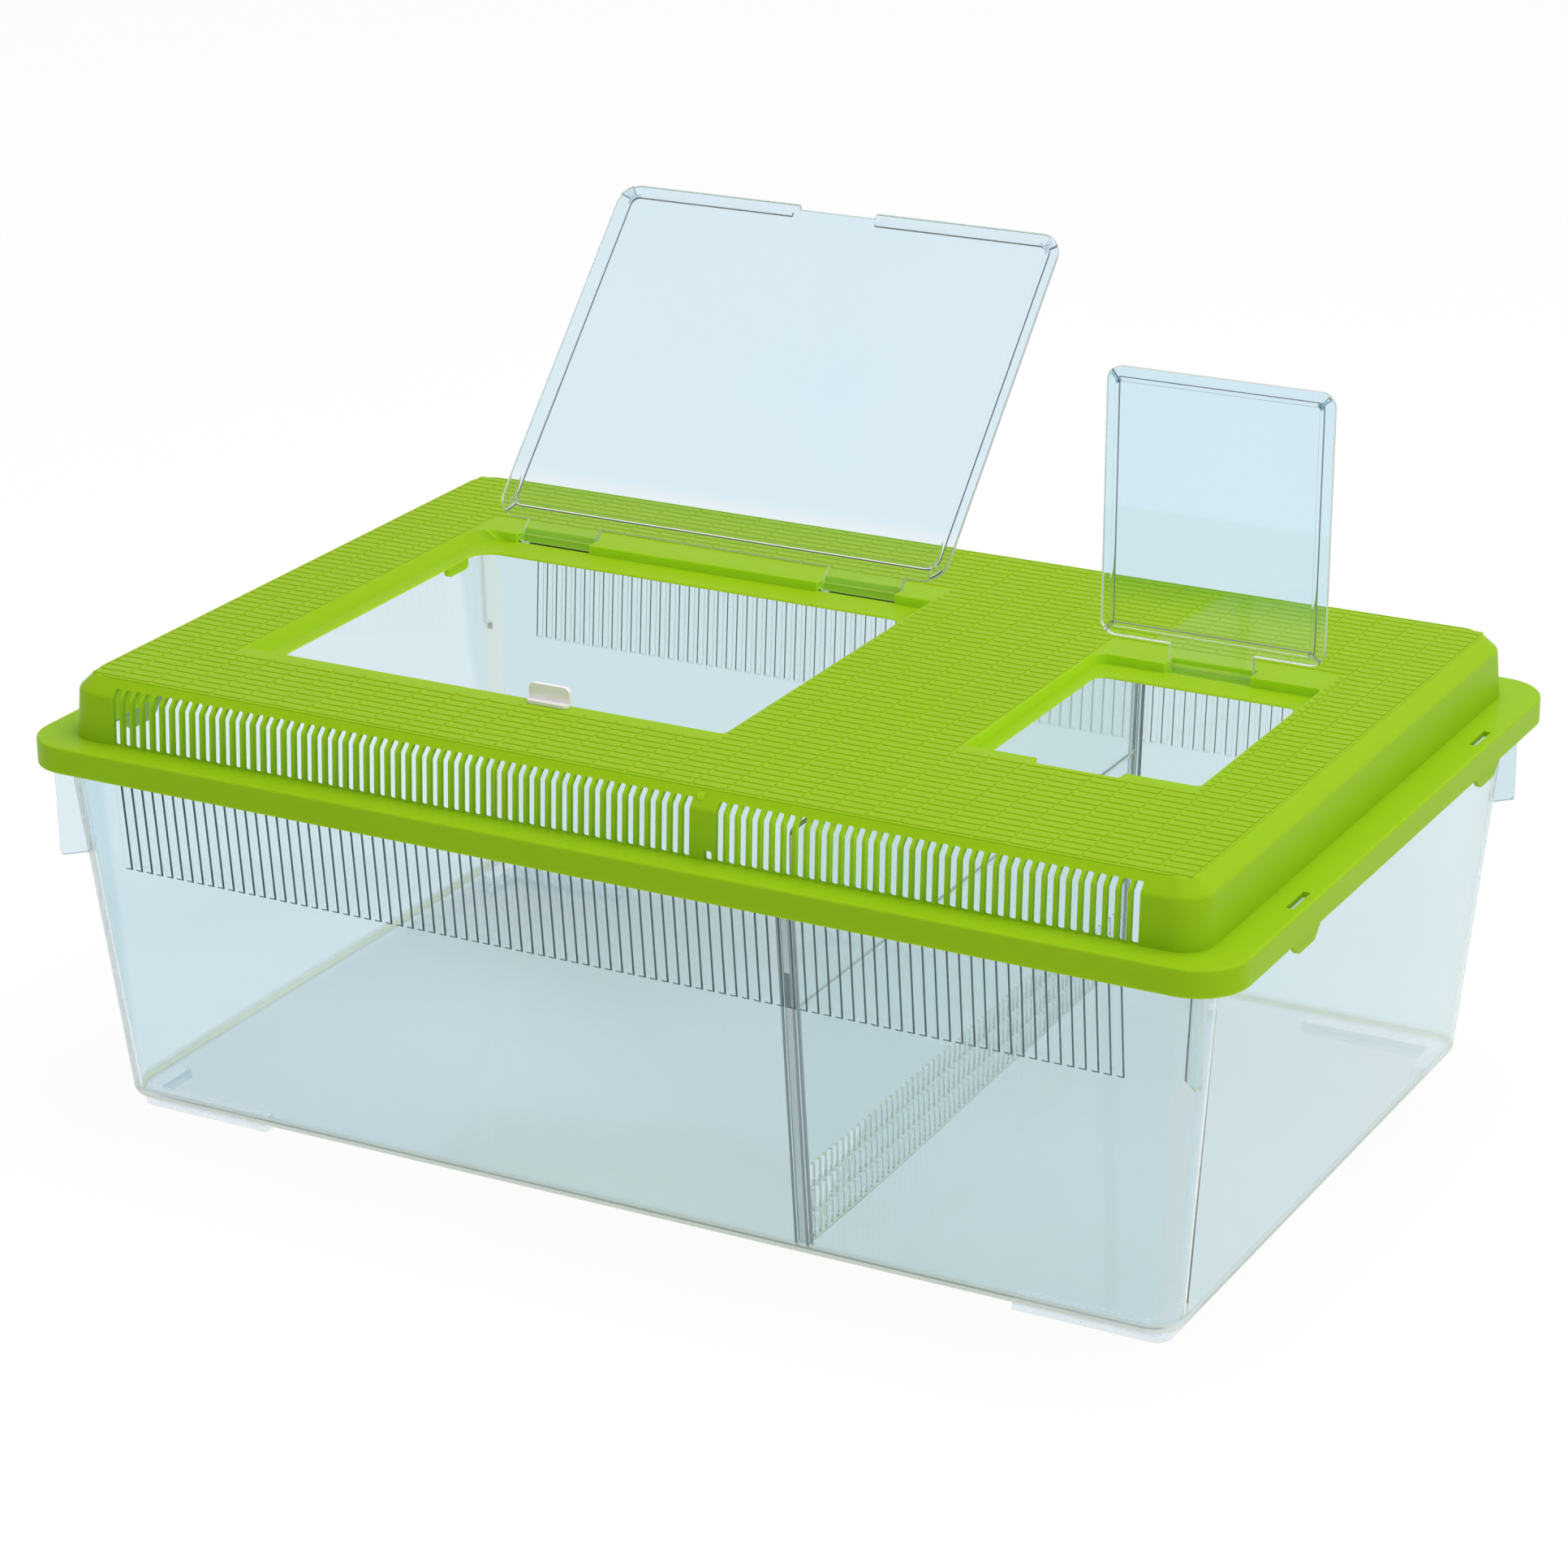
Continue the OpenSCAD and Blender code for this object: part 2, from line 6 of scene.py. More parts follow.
import bmesh
import bpy
from mathutils import Matrix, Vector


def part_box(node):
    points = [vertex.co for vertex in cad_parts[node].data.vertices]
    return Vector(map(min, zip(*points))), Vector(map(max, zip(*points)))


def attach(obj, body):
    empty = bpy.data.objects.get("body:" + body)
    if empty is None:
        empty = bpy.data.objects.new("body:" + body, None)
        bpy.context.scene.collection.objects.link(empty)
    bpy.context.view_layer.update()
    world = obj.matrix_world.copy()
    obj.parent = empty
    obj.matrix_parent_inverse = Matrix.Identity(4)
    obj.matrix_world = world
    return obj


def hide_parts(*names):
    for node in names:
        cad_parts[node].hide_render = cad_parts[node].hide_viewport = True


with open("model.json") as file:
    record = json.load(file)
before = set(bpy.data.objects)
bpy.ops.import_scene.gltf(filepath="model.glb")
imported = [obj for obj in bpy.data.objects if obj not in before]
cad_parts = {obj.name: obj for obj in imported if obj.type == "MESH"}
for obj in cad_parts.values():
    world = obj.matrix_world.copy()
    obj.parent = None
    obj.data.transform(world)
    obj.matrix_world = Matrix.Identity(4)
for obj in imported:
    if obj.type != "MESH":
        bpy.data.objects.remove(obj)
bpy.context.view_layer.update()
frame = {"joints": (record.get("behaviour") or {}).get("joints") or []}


# ---------------------------------------------------------------- tub
# The tub is one clear moulding with tapered walls and a turned-down rim that the lid sits on.
# It stands on an L-shaped rib under each corner, and a thin fin stiffens the rim at each corner.
# Fine flutes run down its long walls, and two pairs of ribs inside hold the divider.
def add_box(name, low, high):
    """A box between two corners, alone in edit mode."""
    if bpy.context.mode != "OBJECT":
        bpy.ops.object.mode_set(mode="OBJECT")
    bpy.ops.object.select_all(action="DESELECT")
    centre = [(a + b) / 2 for a, b in zip(low, high)]
    size = [b - a for a, b in zip(low, high)]
    bpy.ops.mesh.primitive_cube_add(size=1, location=centre, scale=size)
    piece = bpy.context.object
    piece.name = name
    bpy.ops.object.transform_apply(location=True, rotation=True, scale=True)
    bpy.ops.object.mode_set(mode="EDIT")
    return piece


def pick(kind, test):
    """In edit mode, selects only the points, edges or faces that pass the test, which is given
    a point's or face's place and normal, or an edge's middle and direction."""
    bpy.ops.mesh.select_mode(type=kind)
    bpy.ops.mesh.select_all(action="DESELECT")
    mesh = bmesh.from_edit_mesh(bpy.context.edit_object.data)
    for part in {"VERT": mesh.verts, "EDGE": mesh.edges, "FACE": mesh.faces}[kind]:
        if kind == "VERT":
            chosen = test(part.co, part.normal)
        elif kind == "FACE":
            chosen = test(part.calc_center_median(), part.normal)
        else:
            start, end = (v.co for v in part.verts)
            chosen = test((start + end) / 2, (end - start).normalized())
        part.select_set(bool(chosen))
    bmesh.update_edit_mesh(bpy.context.edit_object.data)


def round_edges(radius, segments, test):
    """Rounds those edges of the piece in edit mode that pass the test of place and direction."""
    pick("EDGE", test)
    bpy.ops.mesh.bevel(offset=radius, segments=segments, affect="EDGES")


def round_corners(radius, segments=10, where=lambda at: True):
    """Rounds the upright edges of the box in edit mode, or those of them that pass the test."""
    round_edges(radius, segments, lambda at, along: abs(along.z) > 0.9 and where(at))


def round_rim(z, radius, segments=4):
    """Rounds the level edges at height z of the piece in edit mode."""
    round_edges(radius, segments, lambda at, along: abs(along.z) < 0.1 and abs(at.z - z) < 1e-5)


def select_only(piece):
    """Leaves edit mode and selects only this piece."""
    if bpy.context.mode != "OBJECT":
        bpy.ops.object.mode_set(mode="OBJECT")
    bpy.ops.object.select_all(action="DESELECT")
    piece.select_set(True)
    bpy.context.view_layer.objects.active = piece


def apply_change(piece, kind, **settings):
    """Adds a modifier with these settings and applies it."""
    select_only(piece)
    change = piece.modifiers.new(kind.lower(), kind)
    for name, value in settings.items():
        setattr(change, name, value)
    bpy.ops.object.modifier_apply(modifier=change.name)


def combine(piece, other, operation="UNION"):
    """Joins the other piece to the piece, or cuts it away, and removes the other piece."""
    apply_change(piece, "BOOLEAN", operation=operation, object=other, solver="EXACT")
    bpy.data.objects.remove(other)


def mirror(piece, x=False, y=False):
    """Adds the piece's mirror image across the middle of the keeper."""
    apply_change(piece, "MIRROR", use_axis=(x, y, False), use_mirror_merge=False)


def repeat(piece, count, step):
    """Repeats the piece in a straight row."""
    apply_change(piece, "ARRAY", count=count, use_relative_offset=False,
                 use_constant_offset=True, constant_offset_displace=step)


def split_at(piece, height):
    """Cuts the piece's faces along a level line, so that those above and below can differ."""
    select_only(piece)
    bpy.ops.object.mode_set(mode="EDIT")
    bpy.ops.mesh.select_all(action="SELECT")
    bpy.ops.mesh.bisect(plane_co=(0, 0, height), plane_no=(0, 0, 1))
    bpy.ops.object.mode_set(mode="OBJECT")


def place(piece, at, turn=(0, 0, 0)):
    """Turns the piece about the origin, moves it, and puts its place in its mesh."""
    select_only(piece)
    piece.rotation_euler = turn
    piece.location = at
    bpy.ops.object.transform_apply(location=True, rotation=True, scale=True)


def finish(piece, material, body, node=None, smooth=32, keep_flat=True):
    """Smooths a piece, gives it its material if it has none, and lets it ride on its body.
    With keep_flat, its large faces are shaded flat beside their rounded edges."""
    select_only(piece)
    bpy.ops.object.shade_smooth_by_angle(angle=math.radians(smooth))
    if keep_flat:
        apply_change(piece, "WEIGHTED_NORMAL", keep_sharp=True)
    if not piece.data.materials:
        piece.data.materials.append(material)
    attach(piece, body)
    if node:
        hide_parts(node)


def let_light_through(piece):
    """Clear styrene this thin throws next to no shadow and keeps no light off what is near it."""
    piece.visible_shadow = False
    piece.visible_diffuse = False


styrene_ior = 1.46


def mottled(name, scale, tone, deep_tone, values):
    """A material that drifts between two tones, with these values on its shader.
    Returns it, its node tree, its shader, and the places and the noise that it is drawn with."""
    material = bpy.data.materials.new(name)
    material.use_nodes = True
    tree = material.node_tree
    shader = tree.nodes["Principled BSDF"]
    for socket, value in values.items():
        shader.inputs[socket].default_value = value
    place_on = tree.nodes.new("ShaderNodeTexCoord").outputs["Object"]
    noise = tree.nodes.new("ShaderNodeTexNoise")
    noise.inputs["Scale"].default_value = scale
    tree.links.new(place_on, noise.inputs["Vector"])
    tones = tree.nodes.new("ShaderNodeMix")
    tones.data_type = "RGBA"
    tones.inputs["A"].default_value = (*tone, 1)
    tones.inputs["B"].default_value = (*deep_tone, 1)
    tree.links.new(noise.outputs["Fac"], tones.inputs["Factor"])
    tree.links.new(tones.outputs["Result"], shader.inputs["Base Color"])
    return material, tree, shader, place_on, noise


def spread(tree, value, low, high, start=0.0, end=1.0):
    """Maps a value that runs from start to end onto low to high."""
    spreader = tree.nodes.new("ShaderNodeMapRange")
    for socket, number in (("From Min", start), ("From Max", end), ("To Min", low), ("To Max", high)):
        spreader.inputs[socket].default_value = number
    tree.links.new(value, spreader.inputs["Value"])
    return spreader.outputs["Result"]


def clear_plastic(name, tint, deep_tint, haze, zones, clear_share=1.0, cloudy_top=None):
    """Clear styrene: a faint tint that drifts over the moulding, and a slightly uneven polish.
    Each zone gives an axis, where its tint starts and is full along it, and that tint; the zones lay painted
    shade or painted light over the drifting tint.
    A moulding that stands on its foot is scuffed there, and so cloudy below a height."""
    material, tree, shader, place_on, drift = mottled(
        name, 9, tint, deep_tint, {"Transmission Weight": clear_share, "IOR": styrene_ior})
    spot = tree.nodes.new("ShaderNodeSeparateXYZ")
    tree.links.new(place_on, spot.inputs[0])
    for axis, start, end, zone_tint in zones:
        zone = tree.nodes.new("ShaderNodeMix")
        zone.data_type = "RGBA"
        zone.inputs["B"].default_value = (*zone_tint, 1)
        tree.links.new(spread(tree, spot.outputs[axis], 0, 1, start, end), zone.inputs["Factor"])
        tree.links.new(shader.inputs["Base Color"].links[0].from_socket, zone.inputs["A"])
        tree.links.new(zone.outputs["Result"], shader.inputs["Base Color"])
    polish = spread(tree, drift.outputs["Fac"], haze * 0.6, haze * 1.4)
    tree.links.new(polish, shader.inputs["Roughness"])
    if cloudy_top:
        scuffs = ((clear_share, 0.92, "Transmission Weight"), (haze, 0.06, "Roughness"))
        for clear, cloudy, socket in scuffs:
            scuff = spread(tree, spot.outputs["Z"], clear, cloudy, cloudy_top, cloudy_top - 0.001)
            tree.links.new(scuff, shader.inputs[socket])
    return material


def edge_plastic(name, tone, deep_tone, clear_share):
    """The same styrene with a tone of its own, for faces that get painted shade or painted light in place of
    the light bent through the plastic.
    """
    values = {"Transmission Weight": clear_share, "IOR": styrene_ior, "Roughness": 0.3}
    return mottled(name, 60, tone, deep_tone, values)[0]


def give_faces(piece, material, test):
    """Gives the faces that pass the test another material."""
    select_only(piece)
    piece.data.materials.append(material)
    piece.active_material_index = len(piece.data.materials) - 1
    bpy.ops.object.mode_set(mode="EDIT")
    pick("FACE", test)
    bpy.ops.object.material_slot_assign()
    bpy.ops.object.mode_set(mode="OBJECT")


bite = 0.001  # how far a block reaches into or past what it joins or cuts
tub_low, tub_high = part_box("tub")
rim_z = tub_high.z
foot_h = 0.0041
wall = 0.0025
floor_z = foot_h + wall
floor_l, floor_w, floor_r = 0.4144, 0.2610, 0.012
foot_edge_r, cavity_edge_r = 0.003, 0.00175
mouth_l, mouth_w, mouth_r = 0.4398, 0.2844, 0.016


def tapered_block(name, bottom, top, z0, z1, edge):
    """A block with round upright corners, from one length, width and corner radius to another."""
    (l0, w0, r0), (l1, w1, r1) = bottom, top
    block = add_box(name, (-l1 / 2, -w1 / 2, z0), (l1 / 2, w1 / 2, z1))
    round_corners(r1)
    for sx in (-1, 1):
        for sy in (-1, 1):
            pick("VERT", lambda at, out: abs(at.z - z0) < 1e-5 and at.x * sx > 0 and at.y * sy > 0)
            bpy.ops.transform.resize(value=(r0 / r1, r0 / r1, 1),
                                     center_override=(sx * l1 / 2, sy * w1 / 2, z0))
            bpy.ops.transform.translate(value=(sx * (l0 - l1) / 2, sy * (w0 - w1) / 2, 0))
    round_rim(z0, edge)
    return block


tub = tapered_block("tub_shell", (floor_l, floor_w, floor_r), (mouth_l, mouth_w, mouth_r),
                    foot_h, rim_z - 0.0005, foot_edge_r)

rim_l, rim_w, rim_r = tub_high.x - tub_low.x, tub_high.y - tub_low.y, 0.0145
rim_t, lip_h = 0.002, 0.0064
rim = add_box("rim", (-rim_l / 2, -rim_w / 2, rim_z - lip_h), (rim_l / 2, rim_w / 2, rim_z))
round_corners(rim_r)
round_rim(rim_z, 0.0008, 3)
pick("FACE", lambda at, out: out.z < -0.9)
bpy.ops.mesh.inset(thickness=rim_t)
bpy.ops.mesh.extrude_region_move(TRANSFORM_OT_translate={"value": (0, 0, lip_h - rim_t)})
combine(tub, rim)

foot_x, foot_y = floor_l / 2 - 0.0045, floor_w / 2 - 0.0045
foot_l, foot_end_l, foot_t = 0.055, 0.024, 0.006
feet = add_box("feet", (foot_x - foot_l, foot_y - foot_t, 0), (foot_x, foot_y, foot_h + bite))
bpy.ops.mesh.bisect(plane_co=(foot_x - foot_t, 0, 0), plane_no=(1, 0, 0))
pick("FACE", lambda at, out: out.y < -0.9 and at.x > foot_x - foot_t)
bpy.ops.mesh.extrude_region_move(TRANSFORM_OT_translate={"value": (0, foot_t - foot_end_l, 0)})
round_corners(0.0055, 6, lambda at: at.x > foot_x - 1e-4 and at.y > foot_y - 1e-4)
mirror(feet, x=True, y=True)
combine(tub, feet)

fin_h, fin_t, fin_reach = 0.0413, 0.002, 0.021
fins = add_box("fins", (0, -fin_t / 2, rim_z - fin_h), (fin_reach, fin_t / 2, rim_z - bite))
round_edges(0.001, 3, lambda at, along: abs(along.y) > 0.9 and at.x > 0.01 and at.z < rim_z - 0.01)
place(fins, (mouth_l / 2 - mouth_r, mouth_w / 2 - mouth_r, 0), (0, 0, math.radians(45)))
mirror(fins, x=True, y=True)
combine(tub, fins)

wall_lean = (mouth_w - floor_w) / 2 / (rim_z - foot_h)


def wall_y(z):
    """Outside of the back wall at height z."""
    return floor_w / 2 + wall_lean * (z - foot_h)


flute_pitch, flute_w, flute_top_w, flute_h, flute_z = 0.004336, 0.0033, 0.0022, 0.0009, 0.0978
flutes_in_row = 89
flute_x = 0.00015 - flute_pitch * (flutes_in_row - 1) / 2
flute_root = 0.001
flutes = add_box("flutes", (flute_x - flute_w / 2, wall_y(flute_z) - flute_root, flute_z - flute_root),
                 (flute_x + flute_w / 2, wall_y(flute_z) + flute_h, rim_z - bite))
pick("VERT", lambda at, out: at.z > rim_z - 0.01)
bpy.ops.transform.translate(value=(0, wall_lean * (rim_z - bite - flute_z), 0))
pick("VERT", lambda at, out: at.y > wall_y(at.z) + flute_h / 2)
bpy.ops.transform.resize(value=(flute_top_w / flute_w, 1, 1))
pick("VERT", lambda at, out: at.y > wall_y(at.z) + flute_h / 2 and at.z < rim_z - 0.01)
bpy.ops.transform.translate(value=(0, 0, flute_root + 1.15 * flute_h))
repeat(flutes, flutes_in_row, (flute_pitch, 0, 0))
mirror(flutes, y=True)
combine(tub, flutes)

cavity = tapered_block("cavity", (floor_l - 2 * wall, floor_w - 2 * wall, floor_r - wall),
                       (mouth_l - 2 * wall, mouth_w - 2 * wall, mouth_r - wall),
                       floor_z, rim_z + bite, cavity_edge_r)
combine(tub, cavity, "DIFFERENCE")

divider_low, divider_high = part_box("divider")
divider_x = (divider_low.x + divider_high.x) / 2
divider_t = divider_high.x - divider_low.x
guide_t, guide_h, guide_gap, guide_top = 0.0015, 0.003, 0.0003, rim_z - 0.003
guide_x = divider_x + divider_t / 2 + guide_gap
guides = add_box("guides", (guide_x, wall_y(foot_h) - wall - guide_h, floor_z - bite),
                 (guide_x + guide_t, wall_y(foot_h) - wall / 2, guide_top))
pick("VERT", lambda at, out: at.z > rim_z / 2)
bpy.ops.transform.translate(value=(0, wall_lean * (guide_top - floor_z), 0))
round_edges(0.0004, 2, lambda at, along: at.y < wall_y(at.z) - wall - guide_h / 2 and abs(along.z) > 0.9)
repeat(guides, 2, (-guide_t - divider_t - 2 * guide_gap, 0, 0))
mirror(guides, y=True)
combine(tub, guides)

# Painted shade: the tub's left end, far wall and floor take darker tints, standing in for the light lost
# where they are seen through more plastic.
far_wall_painted_shade, floor_painted_shade = (0.63, 0.78, 0.825), (0.69, 0.80, 0.87)
tub_plastic = clear_plastic("clear_tub_plastic", (0.89, 0.955, 0.98), (0.85, 0.935, 0.965), 0.03,
                            [("X", -0.197, -0.200, (0.74, 0.86, 0.91)), ("Y", 0.120, 0.124, far_wall_painted_shade),
                             ("Z", floor_z + 0.003, floor_z + bite, floor_painted_shade)], 0.97, floor_z + bite)
finish(tub, tub_plastic, "tub", "tub", keep_flat=False)
# Two flat tones for the flutes' sides: a dark painted shade and a near-white painted highlight.
painted_shade_edge = edge_plastic("flute_edge_plastic", (0.08, 0.14, 0.17), (0.05, 0.10, 0.125), 0.2)
painted_highlight_edge = edge_plastic("bright_edge_plastic", (0.92, 0.95, 0.97), (0.86, 0.91, 0.94), 0.5)


def on_flute(at):
    """True for a place on a flute that stands out of the wall and below the rim."""
    return (flute_z - 0.0001 < at.z < rim_z - lip_h - bite and abs(at.x) < 0.2
            and abs(at.y) > wall_y(at.z) + 0.0001)


def flute_side(at, out):
    """The way a flute's side faces: below zero on its side painted with shade, above zero on the side painted
    with highlight.
    """
    return out.x * at.y / abs(at.y)


# Painted shade on the flutes' shaded sides and, on the front wall, their feet; painted highlight on their lit
# sides. The left faces of the ribs beside the divider get painted shade too.
give_faces(tub, painted_shade_edge, lambda at, out: on_flute(at)
           and (flute_side(at, out) < -0.5 or (out.z < -0.4 and at.y < 0)))
give_faces(tub, painted_highlight_edge, lambda at, out: on_flute(at) and flute_side(at, out) > 0.5)
give_faces(tub, painted_shade_edge, lambda at, out: out.x < -0.9 and wall_y(at.z) - abs(at.y) > wall
           and abs(at.x - divider_x) < divider_t / 2 + guide_gap + guide_t + 0.0002)
steep = 0.12  # walls lean less than this, and their rounded edges more
# Painted light: the rounded edge under the tub and the inside fillet round its floor, but for its back, take
# a near-white tone, standing in for the bright sweep seen through the plastic.
foot_painted_light = edge_plastic("foot_edge_plastic", (0.94, 1.0, 1.0), (0.90, 0.97, 1.0), 0.0)
give_faces(tub, foot_painted_light, lambda at, out: (
    (-0.99 < out.z < -steep and foot_h - 0.0005 < at.z < foot_h + foot_edge_r)
    or (steep < out.z < 0.97 and floor_z - 0.0001 < at.z < floor_z + 0.002 and at.y < 0.1)))
# Painted light: a pale band round the outside of the wall just above the floor, standing in for the bright
# sweep seen through it.
low_edge_z = floor_z + 0.0021
split_at(tub, low_edge_z)
low_band_painted_light = edge_plastic("low_edge_plastic", (0.84, 0.95, 1.0), (0.79, 0.91, 0.96), 0.6)
give_faces(tub, low_band_painted_light, lambda at, out: abs(out.z) < steep and floor_z < at.z < low_edge_z
           and out.x * at.x + out.y * at.y > 0)
# Painted light: a pale tone on the inside faces of the tub's rounded corners, where light passes through the
# corners.
corner_plastic = edge_plastic("corner_plastic", (0.95, 0.98, 1.0), (0.90, 0.95, 0.98), 0.75)
give_faces(tub, corner_plastic, lambda at, out: (
    abs(out.z) < 0.2 and out.x * at.x < 0 and out.y * at.y < 0
    and abs(abs(out.x) - abs(out.y)) < 0.35 and abs(at.x) > floor_l / 2 - floor_r
    and floor_z + 0.002 < at.z < rim_z - bite and abs(at.y) < wall_y(at.z) - wall / 2))
let_light_through(tub)


# ---------------------------------------------------------------- divider
# The divider is a clear plate that drops between the tub's ribs and splits it in two.
# It narrows above the rim to fit inside the lid, and three rows of slots along its foot let air through.
cavity_lean = (mouth_w - floor_w) / 2 / (rim_z - floor_z - cavity_edge_r)
divider_foot = 0.0001 + floor_z
step_z = guide_top
divider_gap = 0.0003
half_low = floor_w / 2 - wall - divider_gap
half_step = half_low + cavity_lean * (step_z - floor_z - cavity_edge_r)
half_top = 0.1333
divider = add_box("divider_plate", (divider_x - divider_t / 2, -half_step, divider_foot),
                  (divider_x + divider_t / 2, half_step, step_z))
pick("FACE", lambda at, out: out.z < -0.9)
bpy.ops.transform.resize(value=(1, half_low / half_step, 1))
round_edges(cavity_edge_r, 3, lambda at, along: abs(along.x) > 0.9 and at.z < 0.05)
pick("FACE", lambda at, out: out.z > 0.9)
bpy.ops.mesh.extrude_region_move(TRANSFORM_OT_translate={"value": (0, 0, rim_z - step_z)})
bpy.ops.transform.resize(value=(1, half_top / half_step, 1))
bpy.ops.mesh.extrude_region_move(TRANSFORM_OT_translate={"value": (0, 0, divider_high.z - rim_z)})
round_edges(0.003, 5, lambda at, along: abs(along.x) > 0.9 and at.z > divider_high.z - 0.001)

slot_pitch, slot_w, slot_h, slot_gap, slot_rows = 0.0042, 0.0018, 0.0083, 0.0014, 3
slots_each_way = math.floor((half_low - 2 * slot_w) / slot_pitch)
slot_y, slot_z = -slots_each_way * slot_pitch, divider_foot + 0.001
slots = add_box("slots", (divider_x - divider_t, slot_y - slot_w / 2, slot_z),
                (divider_x + divider_t, slot_y + slot_w / 2, slot_z + slot_h))
round_edges(0.0005, 2, lambda at, along: abs(along.x) > 0.9)
repeat(slots, 2 * slots_each_way + 1, (0, slot_pitch, 0))
repeat(slots, slot_rows, (0, 0, slot_h + slot_gap))
combine(divider, slots, "DIFFERENCE")
for row in range(slot_rows):
    line_z = slot_z + row * (slot_h + slot_gap)
    line_x, line_y = divider_t / 2 + 0.0003, half_low - 0.006
    line = add_box("slot_line", (divider_x - line_x, -line_y, line_z - 0.0007),
                   (divider_x + line_x, line_y, line_z - 0.0001))
    combine(divider, line)
lug_low, lug_high = 0.0970, 0.1100
for height in (lug_low, lug_high):
    split_at(divider, height)
bpy.ops.object.select_all(action="DESELECT")
pip_r, pip_z = 0.0013, lug_low - 0.0018
bpy.ops.mesh.primitive_cylinder_add(vertices=20, radius=pip_r, depth=2 * half_step,
                                    location=(divider_x, 0, pip_z), rotation=(math.radians(90), 0, 0))
pip = bpy.context.object
bpy.ops.object.transform_apply(location=True, rotation=True, scale=True)
apply_change(pip, "BEVEL", width=0.0002, segments=2, limit_method="ANGLE")
pip_out = half_low + (half_step - half_low) * (pip_z - divider_foot) / (step_z - divider_foot) + 0.00015
bpy.ops.object.mode_set(mode="EDIT")
bpy.ops.mesh.select_all(action="SELECT")
bpy.ops.transform.resize(value=(1, pip_out / half_step, 1), center_override=(divider_x, 0, pip_z))
combine(divider, pip)
divider_plastic = clear_plastic("clear_divider_plastic", (0.92, 0.965, 0.975), (0.88, 0.945, 0.96),
                                0.03, [], 0.93)
finish(divider, divider_plastic, "divider", "divider", smooth=12)
# Painted shade on the divider's ends, a darker band of it between the lug's heights where the lug stands, and
# painted highlight on the pip's end.
divider_end_painted_shade = edge_plastic("divider_edge_plastic", (0.66, 0.76, 0.81), (0.56, 0.68, 0.73), 0.2)


def on_end(at, out):
    """True for a face on the divider's front or back edge."""
    return abs(out.y) > 0.9 and abs(at.y) > half_low - 0.001


give_faces(divider, divider_end_painted_shade, on_end)
give_faces(divider, painted_shade_edge, lambda at, out: on_end(at, out) and lug_low < at.z < lug_high)
give_faces(divider, painted_highlight_edge, lambda at, out: abs(at.z - pip_z) < pip_r + 0.0001
           and abs(at.x - divider_x) < pip_r + 0.0001 and abs(at.y) > pip_out - 0.0003)
let_light_through(divider)


# ---------------------------------------------------------------- lid
# The lid is one green moulding: a skirt over the tub's rim, a flange, and a raised dome with
# upright vents front and back. Its top has rows of fine raised bars and two hatches, each with
# a ledge that its flap lies on, and it clips under the rim with two tongues at each end.
lid_l, lid_w, lid_r = 0.460, 0.295, 0.018
lid_t, skirt_h, dome_h = 0.002, 0.0095, 0.0225
side_flange, end_flange = 0.0112, 0.0135
lid_z = rim_z + 0.0001
flange_z = lid_z + lid_t
skirt_z = flange_z - skirt_h
dome_z = flange_z + dome_h
dome_l, dome_w, dome_r = lid_l - 2 * end_flange, lid_w - 2 * side_flange, 0.011
dome_draft, dome_edge = (0.0014, 0.0014), 0.0052


def lid_block(name, length, width, radius, z0, z1, draft, edge, segments, soft=0):
    """A block with round upright corners and a rounded top edge, drawn in by the draft."""
    block = add_box(name, (-length / 2, -width / 2, z0), (length / 2, width / 2, z1))
    round_corners(radius)
    pick("FACE", lambda at, out: out.z > 0.9)
    bpy.ops.transform.resize(value=(1 - 2 * draft[0] / length, 1 - 2 * draft[1] / width, 1))
    round_rim(z1, edge, segments)
    if soft:
        round_edges(soft, 3, lambda at, along: at.z > z1 - edge - 0.0002 and abs(along.z) < 0.1)
    return block


def cut_block(name, x0, x1, y0, y1, z0, z1, radius):
    """A block with round upright corners between these limits."""
    block = add_box(name, (x0, y0, z0), (x1, y1, z1))
    round_corners(radius, 8)
    return block


lid = lid_block("lid_shell", lid_l, lid_w, lid_r, skirt_z, flange_z, (0, 0), 0.001, 4)
combine(lid, lid_block("dome", dome_l, dome_w, dome_r, flange_z - 0.0005, dome_z,
                       dome_draft, dome_edge, 1, 0.0009))
combine(lid, lid_block("under_skirt", lid_l - 2 * lid_t, lid_w - 2 * lid_t, lid_r - lid_t,
                       skirt_z - bite, lid_z, (0, 0), 0.0003, 1), "DIFFERENCE")
combine(lid, lid_block("under_dome", dome_l - 2 * lid_t, dome_w - 2 * lid_t, dome_r - lid_t,
                       lid_z - bite, dome_z - lid_t, dome_draft, dome_edge - lid_t * 0.6, 1),
        "DIFFERENCE")

line_w, line_h, line_r = 0.0005, 0.0002, 0.009
top_x, top_y = dome_l / 2 - dome_draft[0] - dome_edge, dome_w / 2 - dome_draft[1] - dome_edge
border = add_box("border_line", (-top_x, -top_y, dome_z - 0.0005), (top_x, top_y, dome_z + line_h))
round_corners(line_r)
inner_x, inner_y = top_x - line_w, top_y - line_w
combine(border, cut_block("border_inside", -inner_x, inner_x, -inner_y, inner_y,
                          dome_z - bite, dome_z + bite, line_r - line_w), "DIFFERENCE")
combine(lid, border)

